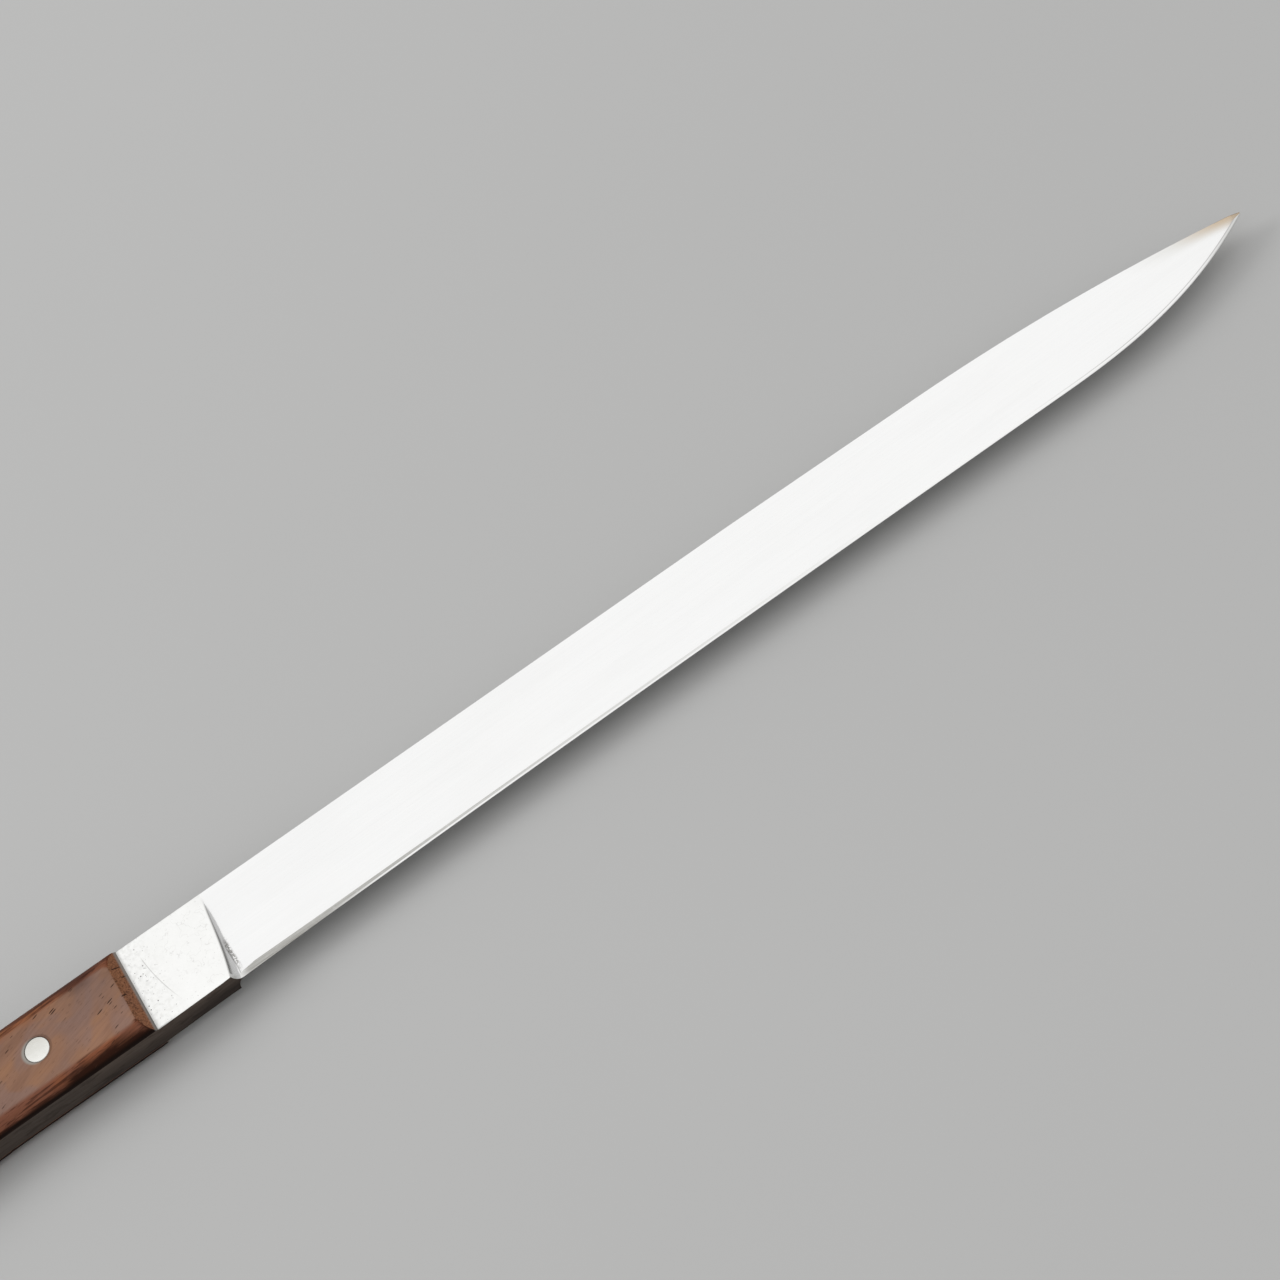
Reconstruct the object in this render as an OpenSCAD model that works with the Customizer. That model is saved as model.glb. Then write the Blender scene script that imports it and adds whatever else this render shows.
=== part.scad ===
// Fixed blade knife with a full tang: one steel bar, two wooden scales, three pins.
// All sizes are in millimetres. The knife lies on its right-hand scale.
// +X points to the tip, +Y to the back of the blade, +Z up, away from the surface.
// The sizes below are worked out in the knife's own frame: x is 0 where wood meets
// bare steel, y is 0 along the back, and z is 0 on the middle plane of the bar.

/* [Bar] */
// Thickness of the steel bar that blade and tang are cut from
bar_t = 6.2; // [4:0.1:8]
// Height of the bar where the wood ends and the bare steel begins
bar_h = 23; // [20:0.5:30]

/* [Blade] */
// Length of the steel ahead of the wood, to the tip
blade_len = 300; // [240:5:360]
// Height of the steel at the heel, where the ground blade begins
heel_h = 22.6; // [20:0.1:29]
// Height of the blade along its middle
waist_h = 20.3; // [17:0.1:24]
// Distance over which the height settles from the heel to the middle
waist_fade = 80; // [40:5:100]
// Length of the upswept end of the edge
belly_len = 57; // [40:1:90]
// How late the edge turns up: 2 is a round belly, 3 a late one
belly_power = 2.45; // [2:0.05:3.4]
// Length of the end of the back that drops to the tip
drop_len = 84; // [50:2:120]
// How far the tip lies below the line of the back
tip_drop = 7.5; // [3:0.5:12]
// Height of the blunt nose at the very tip
tip_nose = 0.4; // [0.2:0.1:1]
// Thickness of the back just before the tip
tip_t = 1.6; // [1:0.1:3]
// Length over which the back thins towards the tip
taper_len = 135; // [80:5:200]

/* [Grind] */
// Length of unground steel along the back, ahead of the wood
ricasso_len = 22.5; // [16:0.5:35]
// How far the plunge line leans back from the back to the heel
plunge_lean = 2.5; // [0:0.1:4]
// Extra sweep of the plunge line close to the heel
plunge_hook = 0.8; // [0:0.1:3]
// Radius of the hollow where the flat grind starts
plunge_r = 1.5; // [0.8:0.1:4]
// Angle of the sharpened bevel to the middle plane, in degrees
bevel_angle = 13; // [8:0.5:20]
// Height of the sharpened bevel where it is fullest, just ahead of the heel
bevel_heel = 1.55; // [0.8:0.05:2.5]
// Height of the sharpened bevel along the rest of the blade
bevel_tip = 0.85; // [0.5:0.05:2]
// Length over which the bevel grows at the heel
bevel_run = 5; // [2:0.5:20]
// Distance over which the bevel then settles to its later height
bevel_fade = 26; // [10:1:80]
// Width of the blunt land left on the edge
edge_land = 0.15; // [0.1:0.05:0.3]

/* [Handle] */
// Length of the handle from the front of the wood to the butt
handle_len = 118; // [100:1:150]
// Height that each scale stands above the bar
scale_t = 2.9; // [2:0.1:6]
// Width of the rounded shoulder along each scale's edge
shoulder_w = 4.5; // [2.5:0.1:5.5]
// Length of the sloped front end of each scale
slope_len = 2.7; // [1:0.1:5]
// Length of the straight lower line behind the front of the wood
straight_len = 36; // [25:1:45]
// Depth that the palm swell adds below the lower line
palm_swell = 2.4; // [0:0.2:5]
// Distance from the butt back to the deepest point of the swell
swell_back = 40; // [30:1:50]
// Depth of the swell that is left at the butt
swell_left = 1; // [0:0.2:3]
// Length of the end of the handle's top line that drops to the butt
butt_fall_len = 62; // [40:1:90]
// How far the top line has dropped at the butt
butt_fall = 3; // [0:0.5:6]
// Length of the rounded butt
butt_round = 12; // [10:0.5:18]

/* [Pins] */
// Diameter of the handle pins
pin_d = 6; // [3:0.5:8]
// Width of the broken edge round each end of a pin
pin_edge = 0.15; // [0.05:0.05:0.4]
// Clearance round each pin in its hole, on the radius
pin_gap = 0.05; // [0.02:0.01:0.1]
// Distance from the front of the wood to the front pin
front_pin_back = 24.5; // [15:0.5:35]
// Distance from the butt to the rear pin
rear_pin_in = 21; // [16:0.5:30]
// How far the pins sit above the handle's centre line
pin_lift = 0.3; // [0:0.1:1.5]

/* [Hidden] */

// Steps of the curves
pin_facets = 96;
handle_steps = 26;
butt_steps = 12;
shoulder_steps = 9;
fillet_steps = 6;
blade_steps = 44;
face_columns = 7;
// How the stations along the blade crowd towards the tip
crowding_power = 1.5;
// Length by which a hole's cutter stands out of what it cuts
slack = 2;
// Small upright wall at the foot of each scale
foot = 0.1;
// Height of the full shoulder curve above the flat that is sanded across it
crown = 0.05;
// Spacing that the plunge fillet keeps where the grind has no depth
runout = 0.06;
// Share of its full height that the bevel starts with at the heel
bevel_start_share = 0.6;
// Share of the handle's height that stays flat at the end of the butt
butt_end_share = 0.04;
// Stretch of the bar that the ground end of the steel starts with
ground_lead = 1;
// Thickness that the back has over the bevel close to the tip, as a share of the height
tip_t_share = 0.5;
// Share of the height that the sharpened bevel may take close to the tip
bevel_share = 0.4;

turn_k = handle_steps + butt_steps;
last_k = 2 * turn_k + 1;
heel_x = ricasso_len - plunge_lean - plunge_hook;
ground_from = heel_x - ground_lead;
drop_from = blade_len - drop_len;
belly_from = blade_len - belly_len;
taper_from = blade_len - taper_len;

// The part's origin is the middle of its box, on the surface it lies on
lowest_y = min([for (k = [0 : last_k]) handle_point(k)[1]]);
shift_x = (handle_len - blade_len) / 2;
shift_y = max(bar_h, -lowest_y) / 2;
shift_z = bar_t / 2 + scale_t;

function mix(a, b, share) = a + (b - a) * share;
function ease(share) = (1 - cos(180 * min(1, max(0, share)))) / 2;

// Outline of the blade: the back, the edge and the height between them
function back_y(x) = x < drop_from ? 0 : -tip_drop * pow((x - drop_from) / drop_len, 2);
function long_edge_y(x) = x < heel_x ? mix(-bar_h, -heel_h, x / heel_x)
    : -waist_h - (heel_h - waist_h) * exp(-(x - heel_x) / waist_fade);
function belly_rise() = -tip_drop - tip_nose - long_edge_y(blade_len);
function edge_y(x) = x < belly_from ? long_edge_y(x)
    : long_edge_y(x) + belly_rise() * pow((x - belly_from) / belly_len, belly_power);
function height(x) = back_y(x) - edge_y(x);

// Thickness of the back, which thins to the tip and closes with the height there
function thinned(x) = mix(bar_t, tip_t, max(0, x - taper_from) / taper_len);
function back_t(x) = min(thinned(x), bevel_t(x) + tip_t_share * height(x));

// Height of the sharpened bevel, and the thickness at its shoulder
function bevel_growth(x) = mix(bevel_start_share, 1, ease((x - heel_x) / bevel_run));
function settled_bevel(x) = bevel_tip
    + (bevel_heel - bevel_tip) * exp(-max(0, x - heel_x - bevel_run) / bevel_fade);
function bevel(x) = min(bevel_growth(x) * settled_bevel(x), bevel_share * height(x));
function bevel_t(x) = edge_land + 2 * tan(bevel_angle) * bevel(x);

// The grind, by column: 0 is at the back, face_columns - 1 at the bevel's shoulder,
// and face_columns at the edge itself
function is_edge(column) = column == face_columns;
function face_share(column) = min(1, column / (face_columns - 1));
function ground_y(x, column) = is_edge(column) ? edge_y(x)
    : mix(back_y(x), edge_y(x) + bevel(x), face_share(column));
function ground_z(x, column) = is_edge(column) ? edge_land / 2
    : mix(back_t(x), bevel_t(x), face_share(column)) / 2;

// The plunge line, and the hollow that the grinding wheel leaves at it: an arc where
// the grind is shallow, and a wall over that arc where it is deeper than its radius
function depth_share(column) = is_edge(column) ? 1
    : face_share(column) * (1 - bevel_start_share * bevel_heel / heel_h);
function plunge_x(column) = ricasso_len - plunge_lean * depth_share(column)
    - plunge_hook * pow(depth_share(column), 4);
function ground_depth(column) = bar_t / 2 - ground_z(plunge_x(column), column);
function hollow_h(column) = max(plunge_r, ground_depth(column));
function wheel_start(column) = asin(1 - ground_depth(column) / hollow_h(column));
function wheel_angle(column, step) = mix(wheel_start(column), 90, step / fillet_steps);
function fillet_x(column, step) = plunge_x(column) + runout * step
    + plunge_r * (cos(wheel_start(column)) - cos(wheel_angle(column, step)));
function fillet_rise(column, step) = hollow_h(column) * (1 - sin(wheel_angle(column, step)));

// Stations along the blade: one on the bar, then the fillet, then the ground faces
stations = 1 + fillet_steps + blade_steps;
function station_share(i) = 1 - pow(1 - (i - 1 - fillet_steps) / blade_steps, crowding_power);
function station_x(i, column) = i == 0 ? ground_from
    : i <= 1 + fillet_steps ? fillet_x(column, i - 1)
    : mix(fillet_x(column, fillet_steps), blade_len, station_share(i));
function station_z(i, x, column) = i == 0 ? bar_t / 2
    : i <= 1 + fillet_steps ? min(bar_t / 2, ground_z(x, column) + fillet_rise(column, i - 1))
    : ground_z(x, column);
function station_point(i, column, side) =
    let (x = station_x(i, column))
    [x, ground_y(x, column), side * station_z(i, x, column)];

// Faces of a closed skin over rings of points. A ring runs out along one side and home
// along the other, so each end is closed by strips from side to side.
function cap_faces(first, count) = [for (k = [0 : count / 2 - 2])
    [first + k, first + k + 1, first + count - 2 - k, first + count - 1 - k]];
function flipped(faces) = [for (f = faces) [for (k = [len(f) - 1 : -1 : 0]) f[k]]];
function skin_faces(rings, count) = concat(
    cap_faces(0, count),
    flipped(cap_faces((rings - 1) * count, count)),
    [for (r = [0 : rings - 2], k = [0 : count - 1])
        [r * count + k, (r + 1) * count + k, r * count + (k + 1) % count]],
    [for (r = [0 : rings - 2], k = [0 : count - 1])
        [r * count + (k + 1) % count, (r + 1) * count + k, (r + 1) * count + (k + 1) % count]]);

// Outline of the handle at distance d behind the front of the wood
function swell_depth(d) = d < handle_len - swell_back
    ? palm_swell * ease((d - straight_len) / (handle_len - swell_back - straight_len))
    : mix(palm_swell, swell_left, ease((d - handle_len + swell_back) / swell_back));
function handle_top(d) = -butt_fall * pow(max(0, d - handle_len + butt_fall_len) / butt_fall_len, 2);
function handle_low(d) = -bar_h - swell_depth(d);
function handle_mid(d) = (handle_top(d) + handle_low(d)) / 2;
function handle_half(d) = (handle_top(d) - handle_low(d)) / 2;

// Points from the front, along the top, round the butt and back along the bottom.
// A scale's front end slopes back as its outline rises by z.
function butt_angle(k) = 90 * max(0, k - handle_steps) / butt_steps;
function handle_d(k, z) = k <= handle_steps
    ? mix(slope_len * z / scale_t, handle_len - butt_round, k / handle_steps)
    : handle_len - butt_round + butt_round * sin(butt_angle(k));
function side_point(k, way, z) =
    let (d = handle_d(k, z))
    [-d, handle_mid(d) + way * handle_half(d) * max(butt_end_share, cos(butt_angle(k)))];
function handle_point(k, z = 0) = k <= turn_k ? side_point(k, 1, z) : side_point(last_k - k, -1, z);
function handle_run(k, z) = handle_point(min(last_k, k + 1), z) - handle_point(max(0, k - 1), z);
function handle_inward(k, z) =
    let (run = handle_run(k, z))
    k == 0 ? [0, -1] : k == last_k ? [0, 1] : [-run[1], run[0]] / norm(run);
function inset_point(k, inset, z) =
    let (p = handle_point(k, z) + inset * handle_inward(k, z))
    [p[0], p[1], z];

// Rings of a scale: its foot, then the shoulder curve up to the flat sanded across it
flat_angle = asin((scale_t - foot) / (scale_t + crown - foot));
function ring_angle(r) = flat_angle * max(0, r - 1) / shoulder_steps;
function ring_inset(r) = shoulder_w * (1 - cos(ring_angle(r)));
function ring_z(r) = r == 0 ? 0 : foot + (scale_t + crown - foot) * sin(ring_angle(r));

// Centres of the pins
front_pin_d = front_pin_back;
rear_pin_d = handle_len - rear_pin_in;
middle_pin_d = (front_pin_d + rear_pin_d) / 2;
function pin_place(d) = [-d, handle_mid(d) + pin_lift, 0];

module in_place() {
    translate([shift_x, shift_y, shift_z]) children();
}

module pin_holes() {
    for (d = [front_pin_d, middle_pin_d, rear_pin_d])
        translate(pin_place(d)) cylinder(
            h = bar_t + 2 * scale_t + slack, r = pin_d / 2 + pin_gap,
            center = true, $fn = pin_facets);
}

// A rod through both scales and the tang, flush with the scales' flats
module pin(d) {
    r = pin_d / 2;
    end = bar_t / 2 + scale_t;
    color([0.84, 0.83, 0.8]) in_place() translate(pin_place(d))
        rotate_extrude($fn = pin_facets) polygon([
            [0, -end], [r - pin_edge, -end], [r, pin_edge - end],
            [r, end - pin_edge], [r - pin_edge, end], [0, end]]);
}

// The bar from the butt to just behind the grind: tang and most of the ricasso
module bar_outline() {
    polygon(concat(
        [for (k = [0 : last_k]) handle_point(k)],
        [[ground_from, edge_y(ground_from)], [ground_from, 0]]));
}

// The ground blade, as rings of points that run round it from the back over the left
// face to the edge, and home over the right face
module ground_blade() {
    ring = 2 * (face_columns + 1);
    points = [for (i = [0 : stations], k = [0 : ring - 1])
        k <= face_columns ? station_point(i, k, 1) : station_point(i, ring - 1 - k, -1)];
    polyhedron(points, skin_faces(stations + 1, ring));
}

module blade() {
    color([0.86, 0.86, 0.85]) in_place() difference() {
        union() {
            translate([0, 0, -bar_t / 2]) linear_extrude(bar_t) bar_outline();
            ground_blade();
        }
        pin_holes();
    }
}

// A scale on the bar's left face, with its foot, shoulders, flat and sloped front
module scale() {
    count = last_k + 1;
    rings = 2 + shoulder_steps;
    points = [for (r = [0 : rings - 1], k = [0 : count - 1])
        inset_point(k, ring_inset(r), ring_z(r))];
    difference() {
        translate([0, 0, bar_t / 2]) polyhedron(points, skin_faces(rings, count));
        pin_holes();
    }
}

module scale_left() {
    color([0.42, 0.27, 0.2]) in_place() scale();
}

module scale_right() {
    color([0.42, 0.27, 0.2]) in_place() mirror([0, 0, 1]) scale();
}

module front_pin() {
    pin(front_pin_d);
}

module middle_pin() {
    pin(middle_pin_d);
}

module rear_pin() {
    pin(rear_pin_d);
}

blade();
scale_left();
scale_right();
front_pin();
middle_pin();
rear_pin();
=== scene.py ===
"""Looks of a fixed blade knife: ground steel, reddish brown wooden scales, flush pins.

Objects are in metres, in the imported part's frame: +X to the tip, +Y to the back of the
blade, +Z up, with the knife lying on its right-hand scale. Shapes and textures are
worked out in the knife's own frame, in millimetres: x is 0 where wood meets bare steel,
y is 0 along the back, and z is 0 on the middle plane of the bar.
"""
import math

import bmesh
import bpy
from mathutils import Matrix, Vector


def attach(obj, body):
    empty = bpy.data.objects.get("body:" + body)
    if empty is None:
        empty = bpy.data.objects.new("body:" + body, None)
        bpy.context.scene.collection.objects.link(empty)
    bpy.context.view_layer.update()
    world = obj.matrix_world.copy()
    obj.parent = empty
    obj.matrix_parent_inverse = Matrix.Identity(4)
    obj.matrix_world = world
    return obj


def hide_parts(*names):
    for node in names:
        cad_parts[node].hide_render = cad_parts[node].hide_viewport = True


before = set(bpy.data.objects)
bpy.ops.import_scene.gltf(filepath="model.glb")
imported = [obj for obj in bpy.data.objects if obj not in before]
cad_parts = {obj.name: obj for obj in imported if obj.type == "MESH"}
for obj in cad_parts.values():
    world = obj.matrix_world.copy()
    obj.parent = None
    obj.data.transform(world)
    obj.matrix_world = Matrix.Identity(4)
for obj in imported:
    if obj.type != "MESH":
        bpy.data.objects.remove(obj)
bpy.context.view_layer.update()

MM = 0.001

# Sizes of the knife, as its solids have them
BAR_T = 6.2
BAR_H = 23.0
BLADE_LEN = 300.0
HEEL_H = 22.6
WAIST_H = 20.3
WAIST_FADE = 80.0
BELLY_LEN = 57.0
BELLY_POWER = 2.45
DROP_LEN = 84.0
TIP_DROP = 7.5
TIP_NOSE = 0.4
TIP_T = 1.6
TAPER_LEN = 135.0
RICASSO_LEN = 22.5
PLUNGE_LEAN = 2.5
PLUNGE_HOOK = 0.8
HOOK_POWER = 4
PLUNGE_R = 1.5
BEVEL_ANGLE = 13.0
BEVEL_HEEL = 1.55
BEVEL_TIP = 0.85
BEVEL_RUN = 5.0
BEVEL_FADE = 26.0
BEVEL_START_SHARE = 0.6
EDGE_LAND = 0.15
TIP_T_SHARE = 0.5
BEVEL_SHARE = 0.4
HANDLE_LEN = 118.0
SCALE_T = 2.9
SHOULDER_W = 4.5
SLOPE_LEN = 2.7
STRAIGHT_LEN = 36.0
PALM_SWELL = 2.4
SWELL_BACK = 40.0
SWELL_LEFT = 1.0
BUTT_FALL_LEN = 62.0
BUTT_FALL = 3.0
BUTT_ROUND = 12.0
BUTT_END_SHARE = 0.04
FOOT = 0.1
CROWN = 0.05
PIN_D = 6.0
PIN_GAP = 0.05
FRONT_PIN_BACK = 24.5
REAR_PIN_IN = 21.0
PIN_LIFT = 0.3

# How finely the meshes follow those shapes
HANDLE_STEPS = 60
BUTT_STEPS = 20
SHOULDER_STEPS = 14
CORNER_STEPS = 5
RICASSO_STEPS = 8
FILLET_STEPS = 14
FILLET_RUNOUT = 0.03
BLADE_STEPS = 110
FACE_COLUMNS = 20
CROWDING_POWER = 1.5

# Small softening that the meshes add to the solids' corners
STEEL_EASE = 0.14
SLOPE_ROUND = 0.7
MITRE_ROUND = 1.4
FLAT_RIM = 0.5
FRONT_CORNER_SHARE = 0.7

# Making of the meshes: metres within which points are one, the drill for the pin holes in
# millimetres, and the degrees from which a corner is drawn sharp
WELD_DIST = 1e-7
DRILL_SIDES = 64
DRILL_LEN = 20.0
STEEL_SHARP = 20.0
WOOD_SHARP = 28.0

# Floor, lamps and camera, in metres, degrees and the camera's own millimetres
FLOOR_HALF = 15.0
WORLD_STRENGTH = 0.54
OVERHEAD_AT = (0.0, 0.4, 1.15)
OVERHEAD_AIM = (0, 0.1, 0)
OVERHEAD_SIZE = 2.2
OVERHEAD_RADIANCE = 0.46
KEY_AT = (-1.6, 0.8, 1.1)
KEY_AIM = (0, 0, 0)
KEY_SIZE = 0.9
KEY_RADIANCE = 5.2
CAMERA_AIM = Vector((43.3, 3.1, 6.0)) * MM
CAMERA_AT = Vector((11.2, -362.5, 561.1)) * MM
CAMERA_ROLL = -30.7
CAMERA_LENS = 84.4
CAMERA_SENSOR = 36
CAMERA_NEAR = 0.01

# Worked out from the sizes: where the heel stands, where the palm swell is deepest, and
# which step of the handle's outline is the end of the butt, and which the last one
HEEL_X = RICASSO_LEN - PLUNGE_LEAN - PLUNGE_HOOK
HEEL_SHARE = 1 - BEVEL_START_SHARE * BEVEL_HEEL / HEEL_H
DEEPEST_D = HANDLE_LEN - SWELL_BACK
TURN_K = HANDLE_STEPS + BUTT_STEPS
LAST_K = 2 * TURN_K + 1


def mix(a, b, share):
    return a + (b - a) * share


def ease(share):
    return (1 - math.cos(math.pi * min(1, max(0, share)))) / 2


def back_y(x):
    into = max(0, x - BLADE_LEN + DROP_LEN)
    return -TIP_DROP * (into / DROP_LEN) ** 2


def long_edge_y(x):
    if x < HEEL_X:
        return mix(-BAR_H, -HEEL_H, x / HEEL_X)
    return -WAIST_H - (HEEL_H - WAIST_H) * math.exp(-(x - HEEL_X) / WAIST_FADE)


def edge_y(x):
    rise = -TIP_DROP - TIP_NOSE - long_edge_y(BLADE_LEN)
    into = max(0, x - BLADE_LEN + BELLY_LEN) / BELLY_LEN
    return long_edge_y(x) + rise * into ** BELLY_POWER


def height(x):
    return back_y(x) - edge_y(x)


def bevel(x):
    growth = mix(BEVEL_START_SHARE, 1, ease((x - HEEL_X) / BEVEL_RUN))
    settled = BEVEL_TIP + (BEVEL_HEEL - BEVEL_TIP) * math.exp(
        -max(0, x - HEEL_X - BEVEL_RUN) / BEVEL_FADE)
    return min(growth * settled, BEVEL_SHARE * height(x))


def bevel_t(x):
    return EDGE_LAND + 2 * math.tan(math.radians(BEVEL_ANGLE)) * bevel(x)


def back_t(x):
    thinned = mix(BAR_T, TIP_T, max(0, x - BLADE_LEN + TAPER_LEN) / TAPER_LEN)
    return min(thinned, bevel_t(x) + TIP_T_SHARE * height(x))


def ground_point(x, column):
    """y and half thickness of the ground steel; beyond FACE_COLUMNS is the edge."""
    if column > FACE_COLUMNS:
        return edge_y(x), EDGE_LAND / 2
    share = column / FACE_COLUMNS
    return (mix(back_y(x), edge_y(x) + bevel(x), share),
            mix(back_t(x), bevel_t(x), share) / 2)


def plunge_x(column):
    deep = 1 if column > FACE_COLUMNS else column / FACE_COLUMNS * HEEL_SHARE
    return RICASSO_LEN - PLUNGE_LEAN * deep - PLUNGE_HOOK * deep ** HOOK_POWER


def fillet_point(column, step):
    """x in the plunge fillet, and how far the steel stands above the ground face there."""
    start = plunge_x(column)
    depth = BAR_T / 2 - ground_point(start, column)[1]
    high = max(PLUNGE_R, depth)
    first = math.asin(1 - depth / high)
    angle = mix(first, math.pi / 2, step / FILLET_STEPS)
    x = start + FILLET_RUNOUT * step + PLUNGE_R * (math.cos(first) - math.cos(angle))
    return x, high * (1 - math.sin(angle))


def handle_top(d):
    into = max(0, d - HANDLE_LEN + BUTT_FALL_LEN) / BUTT_FALL_LEN
    return -BUTT_FALL * into ** 2


def handle_low(d):
    if d < DEEPEST_D:
        return -BAR_H - PALM_SWELL * ease((d - STRAIGHT_LEN) / (DEEPEST_D - STRAIGHT_LEN))
    return -BAR_H - mix(PALM_SWELL, SWELL_LEFT, ease((d - DEEPEST_D) / SWELL_BACK))


def handle_mid(d):
    return (handle_top(d) + handle_low(d)) / 2


def handle_point(k, start_x=0.0):
    """A point of the handle's outline, on a front end that stands at start_x."""
    way = 1 if k <= TURN_K else -1
    k = min(k, LAST_K - k)
    turn = math.pi / 2 * max(0, k - HANDLE_STEPS) / BUTT_STEPS
    if k <= HANDLE_STEPS:
        d = mix(-start_x, HANDLE_LEN - BUTT_ROUND, k / HANDLE_STEPS)
    else:
        d = HANDLE_LEN - BUTT_ROUND + BUTT_ROUND * math.sin(turn)
    half = (handle_top(d) - handle_low(d)) / 2 * max(BUTT_END_SHARE, math.cos(turn))
    return Vector((-d, handle_mid(d) + way * half))


# From the knife's own frame to the part's, whose origin is the middle of its box's underside
SHIFT = Vector(((HANDLE_LEN - BLADE_LEN) / 2, -handle_low(DEEPEST_D) / 2, BAR_T / 2 + SCALE_T))
PIN_PLACES = [Vector((-d, handle_mid(d) + PIN_LIFT, 0)) for d in (
    FRONT_PIN_BACK, (FRONT_PIN_BACK + HANDLE_LEN - REAR_PIN_IN) / 2, HANDLE_LEN - REAR_PIN_IN)]


def place(x, y, z):
    """A point of the knife's own frame as metres in the part's frame."""
    return (Vector((x, y, z)) + SHIFT) * MM


# Sockets of a Mix node that mixes colours
MIX_FACTOR = 0
MIX_A = 6
MIX_B = 7
MIX_RESULT = 2

# Specks: how their sizes spread, and how wide their soft rim is in radii
SPECK_CHANCE_STEP = 0.01
SPECK_SPREAD = 1.6
SPECK_RIM = 0.25


class Shade:
    """A material's nodes, with the sums on its sockets written as plain calls."""

    def __init__(self, name, metallic=0.0, roughness=0.5, specular=0.5):
        self.mat = bpy.data.materials.new(name)
        self.mat.use_nodes = True
        self.nodes = self.mat.node_tree.nodes
        self.shader = self.nodes["Principled BSDF"]
        self.shader.inputs["Metallic"].default_value = metallic
        self.shader.inputs["Roughness"].default_value = roughness
        self.shader.inputs["Specular IOR Level"].default_value = specular

    def feed(self, socket, value):
        if isinstance(value, bpy.types.NodeSocket):
            self.mat.node_tree.links.new(value, socket)
        elif isinstance(value, tuple) and len(value) == 3 and socket.type == "RGBA":
            socket.default_value = (*value, 1)
        else:
            socket.default_value = value

    def calc(self, operation, *values):
        node = self.nodes.new("ShaderNodeMath")
        node.operation = operation
        for socket, value in zip(node.inputs, values):
            self.feed(socket, value)
        return node.outputs[0]

    def add(self, a, b):
        return self.calc("ADD", a, b)

    def sub(self, a, b):
        return self.calc("SUBTRACT", a, b)

    def times(self, *values):
        product = values[0]
        for value in values[1:]:
            product = self.calc("MULTIPLY", product, value)
        return product

    def rise(self, value, low, high):
        """0 below low, 1 above high, and a smooth step between."""
        node = self.nodes.new("ShaderNodeMapRange")
        node.interpolation_type = "SMOOTHSTEP"
        self.feed(node.inputs["Value"], value)
        self.feed(node.inputs["From Min"], low)
        self.feed(node.inputs["From Max"], high)
        return node.outputs["Result"]

    def fall(self, value, low, high):
        return self.sub(1.0, self.rise(value, low, high))

    def coord(self, kind):
        """One of the texture coordinates, by its name."""
        return self.nodes.new("ShaderNodeTexCoord").outputs[kind]

    def knife_mm(self):
        """Position in the knife's own frame, in millimetres."""
        node = self.nodes.new("ShaderNodeMapping")
        node.inputs["Scale"].default_value = (1 / MM, 1 / MM, 1 / MM)
        node.inputs["Location"].default_value = -SHIFT
        self.feed(node.inputs["Vector"], self.coord("Object"))
        return node.outputs["Vector"]

    def split(self, vector):
        node = self.nodes.new("ShaderNodeSeparateXYZ")
        self.feed(node.inputs[0], vector)
        return node.outputs

    def stretch(self, vector, scale, turn=0.0, shift=(0, 0, 0)):
        """The vector turned by so many degrees about Z, then scaled."""
        for settings in ({"Rotation": (0, 0, math.radians(turn))},
                         {"Scale": scale, "Location": shift}):
            node = self.nodes.new("ShaderNodeMapping")
            for socket, value in settings.items():
                node.inputs[socket].default_value = value
            self.feed(node.inputs["Vector"], vector)
            vector = node.outputs["Vector"]
        return vector

    def noise(self, vector, detail=3.0, rough=0.55, distort=0.0):
        node = self.nodes.new("ShaderNodeTexNoise")
        node.inputs["Scale"].default_value = 1.0
        node.inputs["Detail"].default_value = detail
        node.inputs["Roughness"].default_value = rough
        node.inputs["Distortion"].default_value = distort
        self.feed(node.inputs["Vector"], vector)
        return node.outputs["Fac"]

    def cells(self, vector):
        """In the XY plane, distance to the nearest of scattered points, and its own value."""
        node = self.nodes.new("ShaderNodeTexVoronoi")
        node.voronoi_dimensions = "2D"
        node.inputs["Scale"].default_value = 1.0
        self.feed(node.inputs["Vector"], vector)
        return node.outputs["Distance"], self.split(node.outputs["Color"])[0]

    def specks(self, vector, radius, share):
        """Spots of up to that radius, on that share of scattered points."""
        distance, chance = self.cells(vector)
        kept = self.rise(chance, 1 - share, 1 - share + SPECK_CHANCE_STEP)
        size = self.times(kept, self.rise(chance, 1 - SPECK_SPREAD * share, 1.0), radius)
        return self.fall(self.sub(distance, size), -SPECK_RIM * radius, 0.0)

    def blend(self, factor, a, b, mode="MIX"):
        node = self.nodes.new("ShaderNodeMix")
        node.data_type = "RGBA"
        node.blend_type = mode
        self.feed(node.inputs[MIX_FACTOR], factor)
        self.feed(node.inputs[MIX_A], a)
        self.feed(node.inputs[MIX_B], b)
        return node.outputs[MIX_RESULT]

    def ramp(self, value, *stops):
        node = self.nodes.new("ShaderNodeValToRGB")
        elements = node.color_ramp.elements
        while len(elements) < len(stops):
            elements.new(0.5)
        for element, (at, colour) in zip(elements, stops):
            element.position = at
            element.color = (*colour, 1)
        self.feed(node.inputs["Fac"], value)
        return node.outputs["Color"]

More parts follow.
